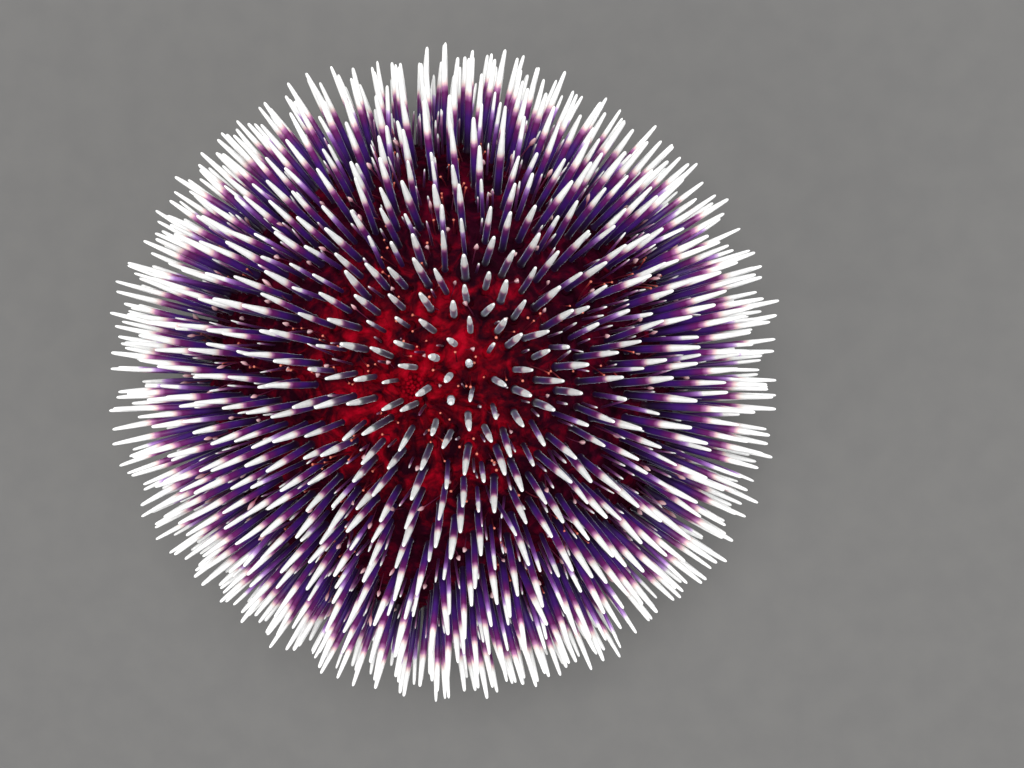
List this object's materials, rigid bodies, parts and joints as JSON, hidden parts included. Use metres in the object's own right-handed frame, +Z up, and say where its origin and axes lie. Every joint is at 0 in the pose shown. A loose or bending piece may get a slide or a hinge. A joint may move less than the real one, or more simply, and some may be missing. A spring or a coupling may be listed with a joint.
{
  "type": "purple sea urchin",
  "caption": "Life-size purple sea urchin with a flattened round test and blunt white-tipped spines on every side, resting on its lower spines.",
  "frame": {"origin": "on the floor, under the axis that runs from the mouth to the apex", "axes": "+Z up from the mouth to the apex, +Y towards the top of the picture's frame, +X to its right"},
  "size_m": [0.1324, 0.1314, 0.0821],
  "materials": {
    "spines": "deep violet shaft, magenta band and white blunt tip, satin",
    "skin": "wet dark red skin over fine tubercles",
    "membrane": "wet maroon mouth membrane with fine folds",
    "teeth": "smooth ivory white"
  },
  "bodies": {
    "root": {"ambulacrum_1_upper": "spines", "ambulacrum_1_lower": "spines", "ambulacrum_2_upper": "spines", "ambulacrum_2_lower": "spines", "ambulacrum_3_upper": "spines", "ambulacrum_3_lower": "spines", "ambulacrum_4_upper": "spines", "ambulacrum_4_lower": "spines", "ambulacrum_5_upper": "spines", "ambulacrum_5_lower": "spines", "interambulacrum_1_upper": "spines", "interambulacrum_1_lower": "spines", "interambulacrum_2_upper": "spines", "interambulacrum_2_lower": "spines", "interambulacrum_3_upper": "spines", "interambulacrum_3_lower": "spines", "interambulacrum_4_upper": "spines", "interambulacrum_4_lower": "spines", "interambulacrum_5_upper": "spines", "interambulacrum_5_lower": "spines", "apical_disc": "skin", "mouth_membrane": "membrane", "tooth_1": "teeth", "tooth_2": "teeth", "tooth_3": "teeth", "tooth_4": "teeth", "tooth_5": "teeth"}
  },
  "joints": []
}
